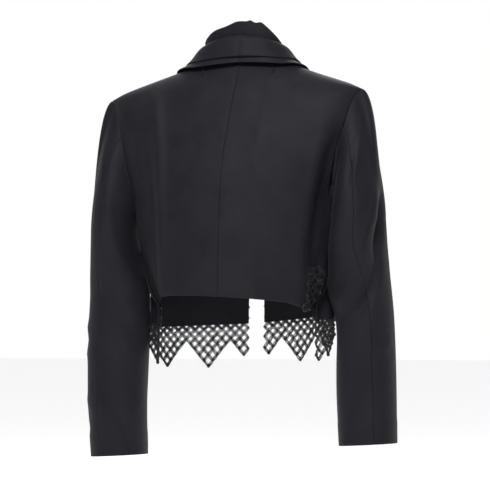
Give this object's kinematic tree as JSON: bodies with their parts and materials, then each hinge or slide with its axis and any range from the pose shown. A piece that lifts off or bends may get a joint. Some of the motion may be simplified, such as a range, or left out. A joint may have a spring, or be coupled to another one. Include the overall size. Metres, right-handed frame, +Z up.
{
  "type": "cropped jacket with beaded net hem",
  "caption": "Cropped tailored jacket, hollow as worn, with layered rolled collar, long sleeves and fronts ending in a pointed beaded net.",
  "frame": {"origin": "the point between the shoulders, at the level of the side of the neck, where the wearer carries the jacket", "axes": "+Z up; -Y towards the fronts; +X towards the wearer's left sleeve"},
  "size_m": [0.5455, 0.2638, 0.7502],
  "materials": {
    "cloth": "matte",
    "beads": "gloss"
  },
  "bodies": {
    "root": {"back_left": "cloth", "side_left": "cloth", "front_left": "cloth", "sleeve_left_upper": "cloth", "sleeve_left_under": "cloth", "lapel_left_upper": "cloth", "lapel_left_lower": "cloth", "back_right": "cloth", "side_right": "cloth", "front_right": "cloth", "sleeve_right_upper": "cloth", "sleeve_right_under": "cloth", "lapel_right_upper": "cloth", "lapel_right_lower": "cloth", "collar_upper": "cloth", "collar_lower": "cloth", "collar_band": "cloth", "net_left": "beads", "net_right": "beads"}
  },
  "joints": []
}
